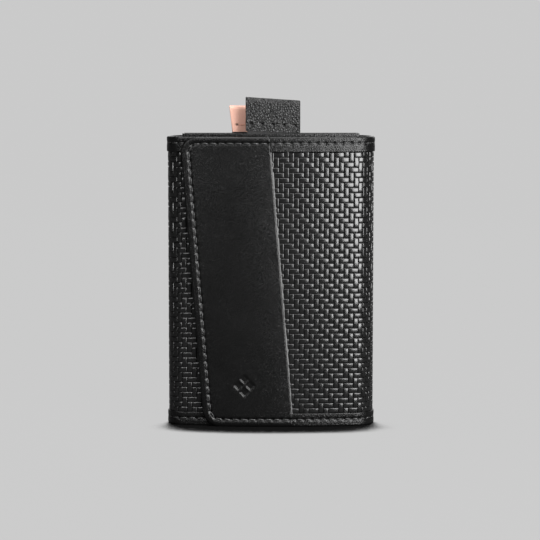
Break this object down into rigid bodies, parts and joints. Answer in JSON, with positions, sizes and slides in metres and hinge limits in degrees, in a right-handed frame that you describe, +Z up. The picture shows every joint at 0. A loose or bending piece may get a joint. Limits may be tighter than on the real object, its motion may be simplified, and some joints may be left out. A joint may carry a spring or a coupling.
{
  "type": "wallet",
  "caption": "Closed tri-fold card wallet standing upright, with an outer flap over an inner wing, card pockets between them and pull tabs at the top.",
  "frame": {"origin": "middle of the base that the closed wallet stands on", "axes": "+Z up along the height, +Y from the flap's front to the flat back, +X towards the fold that the flap turns about"},
  "size_m": [0.0712, 0.019, 0.113],
  "materials": {
    "woven_leather": "black leather embossed with a twill weave, satin",
    "smooth_leather": "fine-grained smooth black leather, satin",
    "grained_leather": "pebbled black leather, semi-matt",
    "rose_leather": "salmon pink leather, semi-matt",
    "lining": "black lining, matt",
    "ribbon": "black ribbed ribbon, matt",
    "magnet": "plated steel, satin"
  },
  "bodies": {
    "root": {"back_cover": "woven_leather", "back_top_band": "grained_leather", "back_bottom_band": "grained_leather", "back_lining": "lining", "pocket_front_panel": "lining", "pocket_divider": "lining", "pocket_floor": "lining", "pocket_left_gusset": "smooth_leather", "pocket_right_gusset": "smooth_leather", "front_lift_loop": "ribbon", "front_loop_anchor": "grained_leather", "rear_lift_loop": "ribbon", "rear_loop_anchor": "rose_leather"},
    "right_fold": {"right_fold_cover": "woven_leather", "right_fold_top_band": "grained_leather", "right_fold_bottom_band": "grained_leather", "right_fold_lining": "lining"},
    "flap": {"flap_cover": "woven_leather", "flap_top_band": "grained_leather", "flap_bottom_band": "grained_leather", "flap_lining": "lining", "flap_tip_panel": "smooth_leather", "flap_upper_magnet": "magnet", "flap_lower_magnet": "magnet"},
    "left_fold": {"left_fold_cover": "woven_leather", "left_fold_top_band": "grained_leather", "left_fold_bottom_band": "grained_leather", "left_fold_lining": "lining"},
    "wing": {"wing_cover": "woven_leather", "wing_top_band": "grained_leather", "wing_bottom_band": "grained_leather", "wing_lining": "lining", "wing_upper_magnet": "magnet", "wing_lower_magnet": "magnet"},
    "front_pull": {"front_tab": "grained_leather", "front_ribbon": "ribbon"},
    "rear_pull": {"rear_tab": "rose_leather", "rear_ribbon": "ribbon"}
  },
  "joints": [
    {"name": "flap_fold", "type": "hinge", "parent": "right_fold", "child": "flap", "pos_m": [0.03388, -0.00598, 0.0495], "axis": [0, 0, 1], "range_deg": [0, 90]},
    {"name": "right_side_fold", "type": "hinge", "parent": "root", "child": "right_fold", "pos_m": [0.03363, 0.00753, 0.0495], "axis": [0, 0, 1], "range_deg": [0, 90]},
    {"name": "wing_fold", "type": "hinge", "parent": "left_fold", "child": "wing", "pos_m": [-0.03431, -0.00434, 0.0495], "axis": [0, 0, -1], "range_deg": [0, 90]},
    {"name": "left_side_fold", "type": "hinge", "parent": "root", "child": "left_fold", "pos_m": [-0.03364, 0.00754, 0.0495], "axis": [0, 0, -1], "range_deg": [0, 90]},
    {"name": "front_tab_pull", "type": "slide", "parent": "root", "child": "front_pull", "axis": [0, 0, 1], "range_m": [0, 0.036], "deforming": ["front_lift_loop"]},
    {"name": "rear_tab_pull", "type": "slide", "parent": "root", "child": "rear_pull", "axis": [0, 0, 1], "range_m": [0, 0.036], "deforming": ["rear_lift_loop"]}
  ],
  "couplings": [
    {"joint": "right_side_fold", "follows": "flap_fold", "ratio": 1},
    {"joint": "wing_fold", "follows": "flap_fold", "ratio": 1},
    {"joint": "left_side_fold", "follows": "flap_fold", "ratio": 1}
  ]
}
